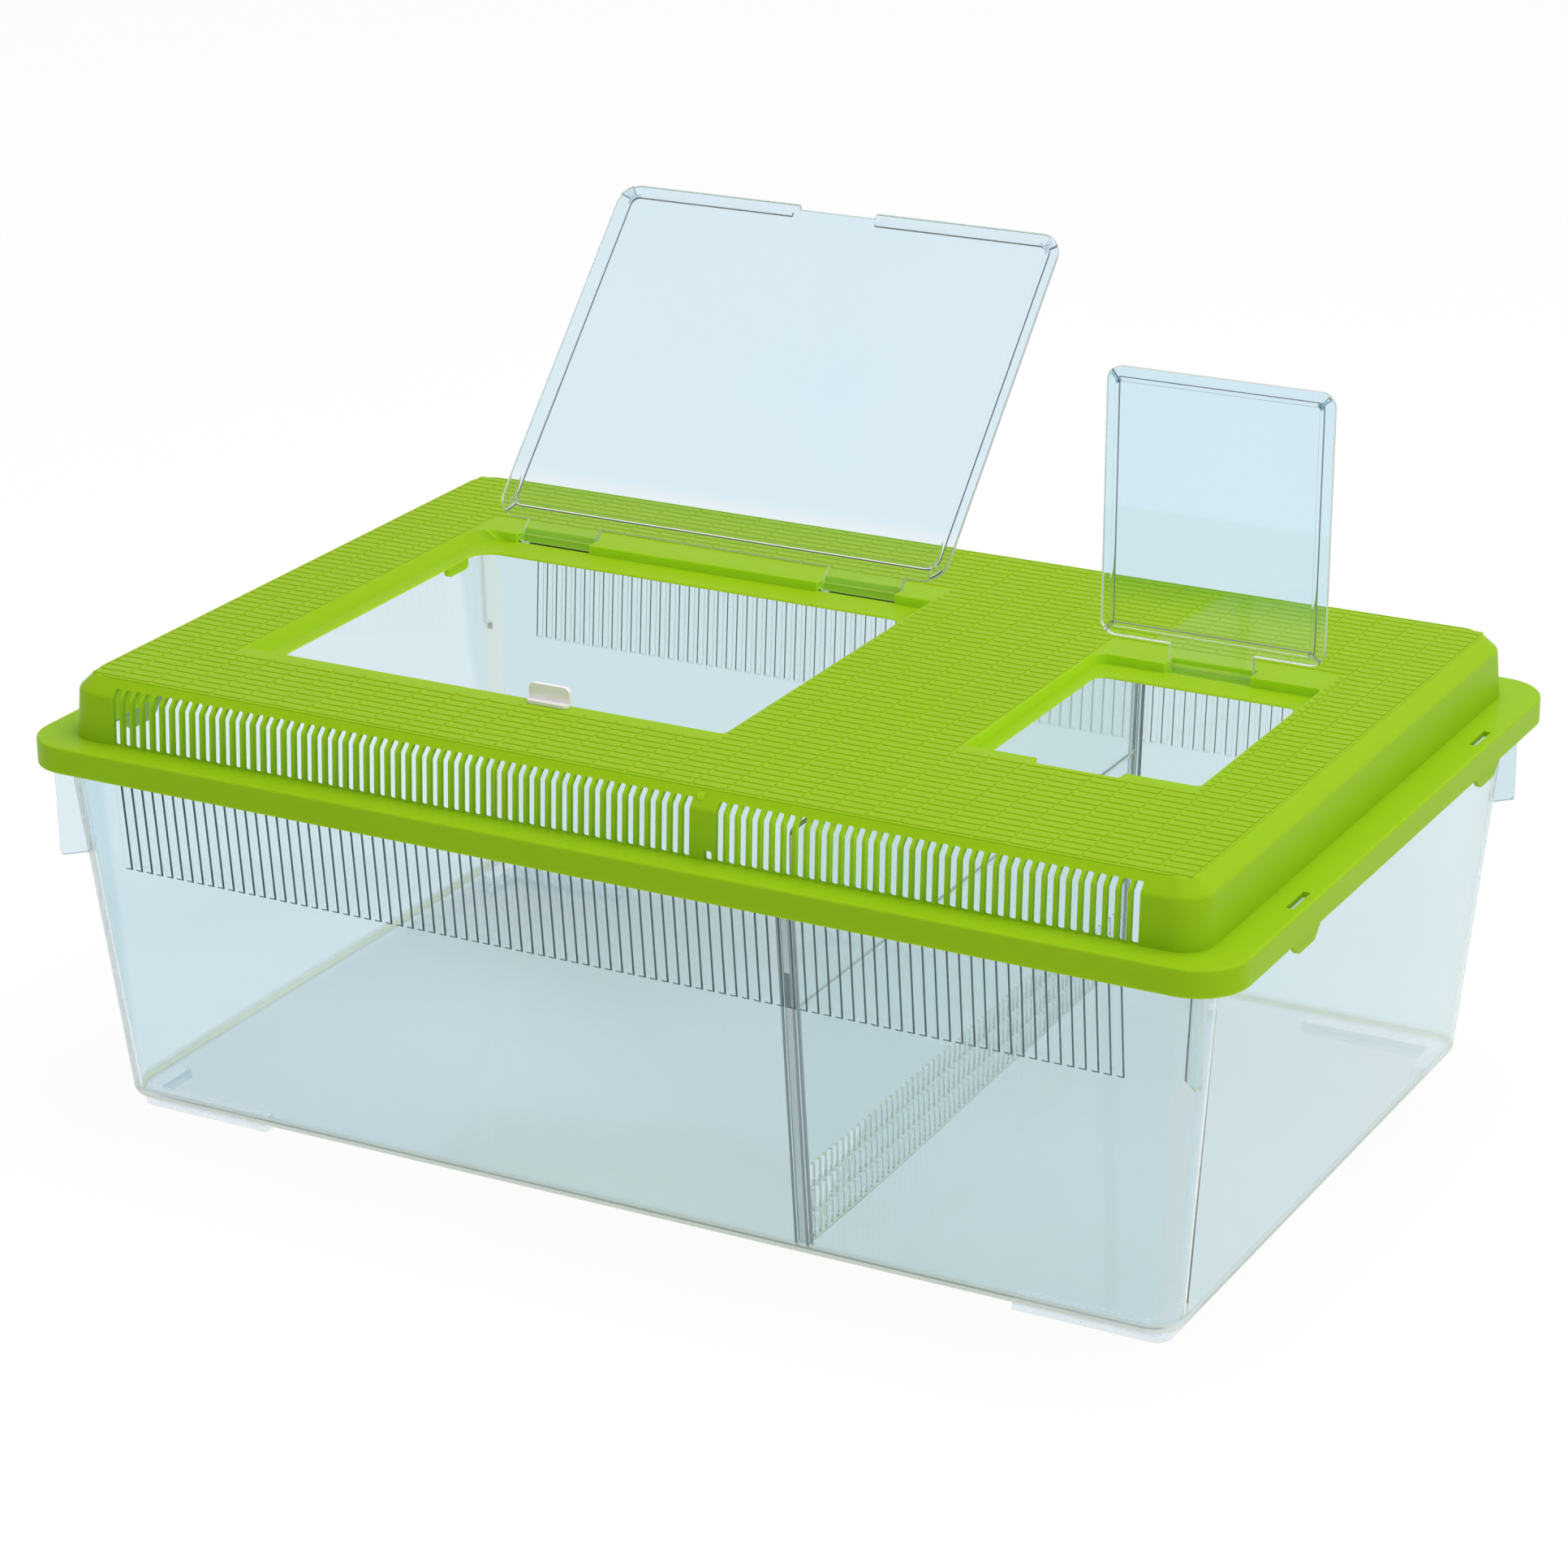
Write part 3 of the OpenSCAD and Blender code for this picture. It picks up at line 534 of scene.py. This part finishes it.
flap_t, bead_h, seat_gap, flap_gap = 0.002, 0.001, 0.0001, 0.0006
barrel_r, pin_r, flap_root, open_lean = 0.0019, 0.001, 0.0086, math.radians(44)
recess_z = dome_z - flap_t - 2 * seat_gap - bead_h - 2 * seat_gap
tray_z = recess_z - lid_t
hinge_gap = 0.0003
flap_joints = {joint["name"]: joint for joint in frame["joints"]}
large_hinge = flap_joints["large_flap_hinge"]["pos_m"]
small_hinge = flap_joints["small_flap_hinge"]["pos_m"]
large_w, large_reach, large_r = 0.191, 0.1563, 0.009
small_w, small_reach, small_r = 0.0842, 0.1056, 0.0055
ledge_w, lip_t, undercut = 0.0028, 0.0007, 0.0025
over = 0.005  # how far the cutters stand clear above and below the lid's top


def hatch(hinge, width, reach, radius, left_room, left_ledge, back_ledge, slope):
    """Tray, recess and opening for one flap. The recess has this room left of the flap, these
    ledges left and back of the opening, and a left side that slopes. Returns its sides."""
    x, y, _ = hinge
    left, right = x - width / 2, x + width / 2
    front, back = y - reach, y - barrel_r - 2 * hinge_gap
    recess = (left - left_room, right + flap_gap, front - flap_gap, back)
    through = (left + left_ledge, right - ledge_w, front + ledge_w, y - flap_root - back_ledge)
    tray = cut_block("tray", recess[0] - lid_t, recess[1] + lid_t, recess[2] - lid_t, recess[3] + lid_t,
                     tray_z, dome_z - bite, radius + lid_t)
    combine(lid, tray)
    cut = add_box("recess", (recess[0], recess[2], recess_z), (recess[1], recess[3], dome_z + over))
    round_corners(radius, 10, lambda at: at.x < x and at.y > y - reach / 2)
    round_corners(0.002, 4, lambda at: at.x > x or at.y < y - reach)
    pick("FACE", lambda at, out: out.z > 0.9)
    bpy.ops.transform.translate(value=(0, 0, -over - 0.00001))
    pick("VERT", lambda at, out: at.z < dome_z - 0.001 and at.x < recess[0] + radius + 0.0001)
    bpy.ops.transform.translate(value=(slope, 0, 0))
    pick("FACE", lambda at, out: out.z > 0.9)
    bpy.ops.mesh.extrude_region_move(TRANSFORM_OT_translate={"value": (0, 0, over)})
    combine(lid, cut, "DIFFERENCE")
    cut = cut_block("hole", *through, recess_z - lip_t, dome_z + over, radius)
    combine(lid, cut, "DIFFERENCE")
    cut = cut_block("under_hole", through[0] - undercut, through[1] + undercut / 2,
                    through[2] - undercut / 2, through[3] + undercut,
                    tray_z - over, recess_z - lip_t + 0.00001, radius)
    combine(lid, cut, "DIFFERENCE")
    return recess


large_recess = hatch(large_hinge, large_w, large_reach, large_r, left_room=0.0033,
                     left_ledge=0.0077, back_ledge=0.0076, slope=0.0045)
small_recess = hatch(small_hinge, small_w, small_reach, small_r, left_room=flap_gap,
                     left_ledge=0.0058, back_ledge=0.0057, slope=0.0006)

lug_l, lug_h, lug_x, lug_y = 0.014, 0.0032, large_hinge[0] - large_w / 2 + 0.0062, 0.0505
lug = add_box("ledge_lug", (lug_x - lid_t, lug_y - lug_l, tray_z - lug_h),
              (lug_x, lug_y, tray_z + 0.0005))
round_edges(0.002, 5, lambda at, along: abs(along.x) > 0.9 and at.z < tray_z - lug_h / 2)
combine(lid, lug)

tab_w, large_tab_x, pin_l = 0.0316, 0.0648, 0.003
pocket_z = large_hinge[2] - barrel_r - hinge_gap
stop_y = (dome_z - large_hinge[2]) * math.tan(open_lean) + flap_t / math.cos(open_lean) + hinge_gap
tabs = [(large_hinge[0] - large_tab_x, large_hinge[1]), (large_hinge[0] + large_tab_x, large_hinge[1]),
        (small_hinge[0], small_hinge[1])]
for x, y in tabs:
    half = tab_w / 2 + hinge_gap
    block = add_box("hinge_block", (x - half - 0.005, y - barrel_r - 2 * hinge_gap, pocket_z - lid_t),
                    (x + half + 0.005, y + stop_y + 0.005, dome_z - bite))
    combine(lid, block)
    pocket = add_box("hinge_pocket", (x - half, y - barrel_r - 3 * hinge_gap, pocket_z),
                     (x + half, y + stop_y, dome_z + over))
    combine(lid, pocket, "DIFFERENCE")

rib_x, rib_t, rib_h = 0.03746, 0.002, 0.0035
rib_end = dome_w / 2 - dome_draft[1] - lid_t
combine(lid, add_box("cross_rib", (rib_x - rib_t / 2, -rib_end, dome_z - 0.001 - rib_h),
                     (rib_x + rib_t / 2, rib_end, dome_z - bite)))

finger_w, finger_d = 0.032, 0.0046
finger = cut_block("finger_opening", small_hinge[0] - finger_w / 2, small_hinge[0] + finger_w / 2,
                   small_recess[2] - finger_d, small_recess[2] + flap_gap + ledge_w + 0.001,
                   tray_z - over, dome_z + over, 0.0008)
combine(lid, finger, "DIFFERENCE")

clip_y, clip_shift, clip_w, clip_tip_w, clip_drop = 0.082, 0.002, 0.026, 0.013, 0.006
clip_x = rim_l / 2 + 0.0002
for middle in (clip_shift - clip_y, clip_shift + clip_y):
    clip = add_box("clip", (clip_x, middle - clip_w / 2, skirt_z - clip_drop),
                   (clip_x + lid_t, middle + clip_w / 2, skirt_z + bite))
    bpy.ops.mesh.bisect(plane_co=(0, 0, skirt_z), plane_no=(0, 0, 1))
    pick("VERT", lambda at, out: at.z < skirt_z - clip_drop / 2)
    bpy.ops.transform.resize(value=(1, clip_tip_w / clip_w, 1))
    round_edges(0.0005, 3, lambda at, along: at.z < skirt_z - clip_drop / 2 and abs(along.x) > 0.9)
    mirror(clip, x=True)
    combine(lid, clip)
    clip_slot = add_box("clip_slot", (rim_l / 2 - 0.0026, middle - 0.0075, lid_z - bite),
                        (rim_l / 2, middle + 0.0075, flange_z + bite))
    mirror(clip_slot, x=True)
    combine(lid, clip_slot, "DIFFERENCE")

vent_pitch, vent_w, vent_h, vent_shift, vents_half = 0.004218, 0.003, 0.0200, -0.0005, 46
blocked_vent = 9


def vent_row(first, last, height):
    """Cutters for a row of vents between two places, counted from the middle."""
    x = vent_shift + first * vent_pitch
    cutters = add_box("vents", (x - vent_w / 2, -dome_w / 2 - 0.001, flange_z),
                      (x + vent_w / 2, -dome_w / 2 + lid_t + dome_draft[1] + 0.004, flange_z + height))
    round_edges(0.0006, 2, lambda at, along: abs(along.y) > 0.9)
    repeat(cutters, last - first + 1, (vent_pitch, 0, 0))
    mirror(cutters, y=True)
    combine(lid, cutters, "DIFFERENCE")


vent_row(-vents_half, blocked_vent - 1, vent_h)
vent_row(blocked_vent + 1, blocked_vent + 1, 0.0035)
vent_row(blocked_vent + 2, vents_half, vent_h)

latch_x, latch_foot_l, neck_gap = -0.049, 0.004, 0.0002
neck_x, head_x = 0.003, 0.0055
latch_front = large_recess[2] - neck_gap - latch_foot_l
combine(lid, add_box("latch_neck_room", (latch_x - neck_x - neck_gap, latch_front + 0.0006, tray_z - bite),
                     (latch_x + neck_x + neck_gap, large_recess[2] + 0.0001, dome_z + bite)), "DIFFERENCE")
combine(lid, add_box("latch_head_room", (latch_x - head_x - 2 * neck_gap, latch_front - 0.001, tray_z - bite),
                     (latch_x + head_x + 2 * neck_gap, latch_front + 0.0062, dome_z - lid_t)), "DIFFERENCE")


def green_plastic(name, colour, deep_colour):
    """Opaque polypropylene: a satin skin with a fine spark-eroded grain and a faint flow pattern."""
    material, tree, shader, place_on, flow = mottled(name, 14, colour, deep_colour, {
        "IOR": 1.49, "Specular IOR Level": 0.06, "Subsurface Weight": 0.3,
        "Subsurface Radius": (0.6, 1.0, 0.1), "Subsurface Scale": 0.004})
    flow.inputs["Detail"].default_value = 3
    tree.links.new(spread(tree, flow.outputs["Fac"], 0.28, 0.42), shader.inputs["Roughness"])
    skin = tree.nodes.new("ShaderNodeTexNoise")
    skin.inputs["Scale"].default_value = 1800
    tree.links.new(place_on, skin.inputs["Vector"])
    bump = tree.nodes.new("ShaderNodeBump")
    bump.inputs["Strength"].default_value = 0.12
    bump.inputs["Distance"].default_value = 0.0002
    tree.links.new(skin.outputs["Fac"], bump.inputs["Height"])
    tree.links.new(bump.outputs["Normal"], shader.inputs["Normal"])
    return material


lid_plastic = green_plastic("green_lid_plastic", (0.330, 0.566, 0.010), (0.304, 0.535, 0.008))
finish(lid, lid_plastic, "lid", "lid")
# Painted light: a lighter copy of the green on the inside of the dome, where light comes in through the clear
# tub.
inner_painted_light = green_plastic("green_lid_plastic_lit_through", (0.47, 0.76, 0.02), (0.43, 0.72, 0.015))


def inside_dome(at):
    """True for a place within the dome's walls, between its foot and its top."""
    drawn_in = (at.z - flange_z) / dome_h
    return (lid_z + 0.0005 < at.z < dome_z - 0.0004
            and abs(at.x) < dome_l / 2 - lid_t * 0.7 - dome_draft[0] * drawn_in
            and abs(at.y) < dome_w / 2 - lid_t * 0.7 - dome_draft[1] * drawn_in
            and (abs(at.x) < dome_l / 2 - dome_r or abs(at.y) < dome_w / 2 - dome_r))


give_faces(lid, inner_painted_light, lambda at, out: inside_dome(at) and out.z < 0.5)

bar_l, bar_w, bar_h = 0.0120, 0.0032, 0.0003
column_pitch, row_pitch = 0.0127, 0.0046
field_x, field_y = 0.2095, 0.1297


def bar_parts(x0, x1, y0, y1):
    """The parts of a bar that lie clear of both hatches, the finger opening and the latch."""
    holes = [(r[0] - 0.0009, r[1] + 0.0009, r[2] - 0.0059, r[3] + 0.0159)
             for r in (large_recess, small_recess)]
    holes += [(x - tab_w / 2 - 0.0012, x + tab_w / 2 + 0.0012, y - 0.004, y + stop_y + 0.0015)
              for x, y in tabs]
    holes.append((small_hinge[0] - finger_w / 2 - 0.001, small_hinge[0] + finger_w / 2 + 0.001,
                  small_recess[2] - finger_d - 0.0008, 0))
    parts = [(x0, x1, y0, y1)]
    for hx0, hx1, hy0, hy1 in holes:
        cut = []
        for a, b, c, d in parts:
            if b <= hx0 or a >= hx1 or d <= hy0 or c >= hy1:
                cut.append((a, b, c, d))
                continue
            cut += [(a, hx0, c, d), (hx1, b, c, d), (max(a, hx0), min(b, hx1), c, hy0),
                    (max(a, hx0), min(b, hx1), hy1, d)]
        parts = [(a, b, c, d) for a, b, c, d in cut if b - a > 0.0012 and d - c > 0.0008]
    return parts


columns, rows = round(2 * field_x / column_pitch), round(2 * field_y / row_pitch)
bars = add_box("lid_top_bars", (-bar_l / 2, -bar_w / 2, dome_z - 0.0003),
               (bar_l / 2, bar_w / 2, dome_z + bar_h))
pick("FACE", lambda at, out: out.z > 0.9)
bpy.ops.transform.resize(value=(1 - bar_h * 1.2 / bar_l, 1 - bar_h * 1.6 / bar_w, 1))
select_only(bars)
one_bar = bmesh.new()
one_bar.from_mesh(bars.data)
field = bmesh.new()
for column in range(columns):
    for row in range(rows):
        x = (column - (columns - 1) / 2) * column_pitch
        y = (row - (rows - 1) / 2) * row_pitch
        for x0, x1, y0, y1 in bar_parts(x - bar_l / 2, x + bar_l / 2, y - bar_w / 2, y + bar_w / 2):
            corners = {}
            for corner in one_bar.verts:
                end_x = (x1 - bar_l / 2) if corner.co.x > 0 else (x0 + bar_l / 2)
                end_y = (y1 - bar_w / 2) if corner.co.y > 0 else (y0 + bar_w / 2)
                corners[corner] = field.verts.new((corner.co.x + end_x, corner.co.y + end_y, corner.co.z))
            for side in one_bar.faces:
                field.faces.new([corners[corner] for corner in side.verts])
field.to_mesh(bars.data)
finish(bars, lid_plastic, "lid")


# ---------------------------------------------------------------- flaps
# Each flap is a clear plate with a bead round its underside and hinge tabs at its back edge.
# A tab's barrel and pins are moulded on, and snap into pockets in the lid. The large flap has
# a notch for a finger, and leans back on its stops. The small flap stands up on its tight hinge.
def make_flap(name, hinge, width, reach, radius, rest, shift, tabs_at, notch, lean, plastic):
    """A flap, drawn shut and flat with its hinge on the X axis, then leaned back and moved to its
    hinge. Its bead lies at this rest in from its edges, moved sideways by the shift."""
    flap = add_box(name, (-width / 2, -reach, 0), (width / 2, -flap_root, flap_t))
    round_corners(radius)
    pick("FACE", lambda at, out: out.z > 0.9)
    bpy.ops.mesh.bevel(offset=0.0004, segments=3, affect="EDGES")
    pick("FACE", lambda at, out: out.z < -0.9)
    bpy.ops.mesh.inset(thickness=rest)
    bpy.ops.transform.translate(value=(shift, 0, 0))
    bpy.ops.mesh.inset(thickness=0.0018)
    pick("FACE", lambda at, out: out.z < -0.9 and at.z < 1e-5)
    mesh = bmesh.from_edit_mesh(flap.data)
    # Of the faces left and right of the bead's two lines, only the strip between them stays chosen.
    whole = max((f for f in mesh.faces if f.select), key=lambda f: f.calc_area())
    whole.select_set(False)
    outer = [f for f in mesh.faces if f.select and any(abs(abs(v.co.x) - width / 2) < 0.0008
             or v.co.y < -reach + 0.0008 or v.co.y > -flap_root - 0.0008 for v in f.verts)]
    for face in outer:
        face.select_set(False)
    bmesh.update_edit_mesh(flap.data)
    bpy.ops.mesh.extrude_region_move(TRANSFORM_OT_translate={"value": (0, 0, -bead_h)})
    bpy.ops.mesh.bevel(offset=0.0007, segments=4, affect="EDGES")
    if notch:
        combine(flap, cut_block("notch", -notch / 2, notch / 2, -reach - 0.001, -reach + 0.0021,
                                -0.003, 0.005, 0.0008), "DIFFERENCE")
        combine(flap, add_box("bead_break", (-notch / 2 - 0.0014, -reach - 0.001, -0.003),
                              (notch / 2 + 0.0014, -reach + rest + 0.002, -0.00001)), "DIFFERENCE")
    for x in tabs_at:
        tab = add_box("tab", (x - tab_w / 2, -flap_root - 0.001, 0), (x + tab_w / 2, 0, flap_t))
        combine(flap, tab)
        for r, length in ((barrel_r, tab_w), (pin_r, tab_w + 2 * pin_l)):
            bpy.ops.object.select_all(action="DESELECT")
            bpy.ops.mesh.primitive_cylinder_add(vertices=32, radius=r, depth=length, location=(x, 0, 0),
                                                rotation=(0, math.radians(90), 0))
            barrel = bpy.context.object
            bpy.ops.object.transform_apply(location=True, rotation=True, scale=True)
            combine(flap, barrel)
    flap.data.materials.append(plastic)
    # Painted shade on the sides of the bead, painted highlight on the sides of the plate.
    give_faces(flap, bead_painted_shade,
               lambda at, out: at.z < -0.00005 and abs(out.z) < 0.8 and at.y < bite - flap_root)
    give_faces(flap, painted_highlight_edge, lambda at, out: at.z > -0.0001 and abs(out.z) < 0.8 and at.y < -0.0025)
    place(flap, hinge, (-math.radians(90) - lean, 0, 0))
    return flap


# A purple-grey painted shade for the bead seen edge on.
bead_painted_shade = edge_plastic("bead_edge_plastic", (0.25, 0.26, 0.33), (0.16, 0.17, 0.24), 0.3)
# Painted light: each flap's tint fades to near clear towards its hinge, so that the green seen through it
# there is less shaded.
hinge_end_painted_light = (0.95, 0.98, 0.985)
large_plastic = clear_plastic("clear_large_flap_plastic", (0.755, 0.885, 0.96), (0.71, 0.86, 0.94), 0.03,
                              [("Z", dome_z + 0.020, dome_z + 0.010, hinge_end_painted_light)])
small_plastic = clear_plastic("clear_small_flap_plastic", (0.66, 0.83, 0.905), (0.61, 0.80, 0.885), 0.03,
                              [("Z", dome_z + 0.028, dome_z + 0.018, hinge_end_painted_light)])
large_flap = make_flap("large_flap_plate", large_hinge, large_w, large_reach, large_r,
                       rest=0.0041, shift=0.0011, tabs_at=(-large_tab_x, large_tab_x),
                       notch=0.033, lean=open_lean, plastic=large_plastic)
finish(large_flap, large_plastic, "large_flap", "large_flap")
let_light_through(large_flap)
small_flap = make_flap("small_flap_plate", small_hinge, small_w, small_reach, small_r,
                       rest=0.0034, shift=0, tabs_at=(0,),
                       notch=0, lean=math.radians(1.4), plastic=small_plastic)
finish(small_flap, small_plastic, "small_flap", "small_flap")
let_light_through(small_flap)


# ---------------------------------------------------------------- latch
# The latch is a small frosted slider in front of the large hatch: a foot on the dome with an
# upright thumb tab, and a neck with a head that holds it under the dome.
latch_low, latch_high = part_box("slide_latch")
foot_z = dome_z + seat_gap
latch = cut_block("latch_body", latch_low.x, latch_high.x, latch_front, latch_front + latch_foot_l,
                  foot_z, foot_z + 0.0012, 0.0015)
tab = add_box("latch_tab", (latch_low.x, latch_front + latch_foot_l - 0.0016, foot_z),
              (latch_high.x, latch_front + latch_foot_l, latch_high.z))
round_edges(0.0020, 6, lambda at, along: abs(along.y) > 0.9)
combine(latch, tab)
head_t = 0.0014
head_z = dome_z - lid_t - seat_gap - head_t
combine(latch, add_box("latch_neck", (latch_x - neck_x, latch_front + 0.0008, head_z + 0.0005),
                       (latch_x + neck_x, latch_front + 0.0026, foot_z + 0.0006)))
combine(latch, add_box("latch_head", (latch_x - head_x, latch_front, head_z),
                       (latch_x + head_x, latch_front + 0.0032, head_z + head_t)))
apply_change(latch, "BEVEL", width=0.0003, segments=2, limit_method="ANGLE",
             angle_limit=math.radians(50))

frosted, tree, shader, _, frost = mottled(
    "frosted_latch_plastic", 900, (1.0, 0.93, 0.99), (0.97, 0.90, 0.96),
    {"IOR": 1.49, "Specular IOR Level": 0.3, "Subsurface Weight": 0.2,
     "Subsurface Radius": (0.002, 0.002, 0.002)})
tree.links.new(spread(tree, frost.outputs["Fac"], 0.35, 0.6), shader.inputs["Roughness"])
finish(latch, frosted, "slide_latch", "slide_latch")


# ---------------------------------------------------------------- floor, light and camera
# The keeper stands on a seamless white sweep under broad soft lamps. The camera looks at it
# from the front right and a little above, through a long lens.
def seen_directly(tree):
    """1 for a ray from the camera, off a gloss or through clear plastic, 0 for one that lights."""
    path = tree.nodes.new("ShaderNodeLightPath")
    seen = path.outputs["Is Camera Ray"]
    for ray in ("Is Glossy Ray", "Is Transmission Ray"):
        either = tree.nodes.new("ShaderNodeMath")
        either.operation = "MAXIMUM"
        tree.links.new(seen, either.inputs[0])
        tree.links.new(path.outputs[ray], either.inputs[1])
        seen = either.outputs[0]
    return seen


bpy.ops.object.select_all(action="DESELECT")
bpy.ops.mesh.primitive_plane_add(size=24, location=(0, 0, 0))
sweep = bpy.context.object
sweep.name = "white_sweep"
white = bpy.data.materials.new("white_paper")
white.use_nodes = True
tree = white.node_tree
paper = tree.nodes["Principled BSDF"]
paper.inputs["Base Color"].default_value = (0.88, 0.88, 0.88, 1)
paper.inputs["Roughness"].default_value = 0.9
glow = tree.nodes.new("ShaderNodeEmission")
glow.inputs["Strength"].default_value = 1.03
share = tree.nodes.new("ShaderNodeMath")
share.operation = "MULTIPLY"
share.inputs[1].default_value = 0.88
mix = tree.nodes.new("ShaderNodeMixShader")
tree.links.new(seen_directly(tree), share.inputs[0])
tree.links.new(share.outputs[0], mix.inputs["Fac"])
tree.links.new(paper.outputs[0], mix.inputs[1])
tree.links.new(glow.outputs[0], mix.inputs[2])
tree.links.new(mix.outputs[0], tree.nodes["Material Output"].inputs["Surface"])
sweep.data.materials.append(white)

world = bpy.data.worlds.new("studio")
world.use_nodes = True
bpy.context.scene.world = world
tree = world.node_tree
background = tree.nodes["Background"]
background.inputs["Color"].default_value = (1, 1, 1, 1)
heading = tree.nodes.new("ShaderNodeTexCoord")
height = tree.nodes.new("ShaderNodeSeparateXYZ")
tree.links.new(heading.outputs["Generated"], height.inputs[0])
level = tree.nodes.new("ShaderNodeMix")
level.inputs["A"].default_value = 0.55
tree.links.new(spread(tree, height.outputs["Z"], 0.95, 0.35, 0.0, 0.7), level.inputs["B"])
tree.links.new(seen_directly(tree), level.inputs["Factor"])
tree.links.new(level.outputs["Result"], background.inputs["Strength"])


def add_lamp(name, at, size, power):
    """A square soft lamp that points at the keeper."""
    lamp = bpy.data.lights.new(name, "AREA")
    lamp.shape, lamp.size, lamp.energy = "SQUARE", size, power
    holder = bpy.data.objects.new(name, lamp)
    bpy.context.scene.collection.objects.link(holder)
    holder.location = at
    holder.rotation_euler = (-holder.location).to_track_quat("-Z", "Y").to_euler()


add_lamp("overhead_lamp", (0.3, 0.2, 1.9), 1.4, 17)
add_lamp("right_lamp", (1.8, -0.3, 1.0), 1.0, 6)

camera = bpy.data.cameras.new("camera")
camera.sensor_width = 36
camera.lens = 104.51
holder = bpy.data.objects.new("camera", camera)
bpy.context.scene.collection.objects.link(holder)
holder.matrix_world = (Matrix.Translation((0.7236, -1.3278, 0.6994))
                       @ Matrix.Rotation(0.5014, 4, "Z")
                       @ Matrix.Rotation(1.2024, 4, "X")
                       @ Matrix.Rotation(-0.0120, 4, "Z"))
bpy.context.scene.camera = holder
bpy.context.scene.view_settings.view_transform = "Standard"
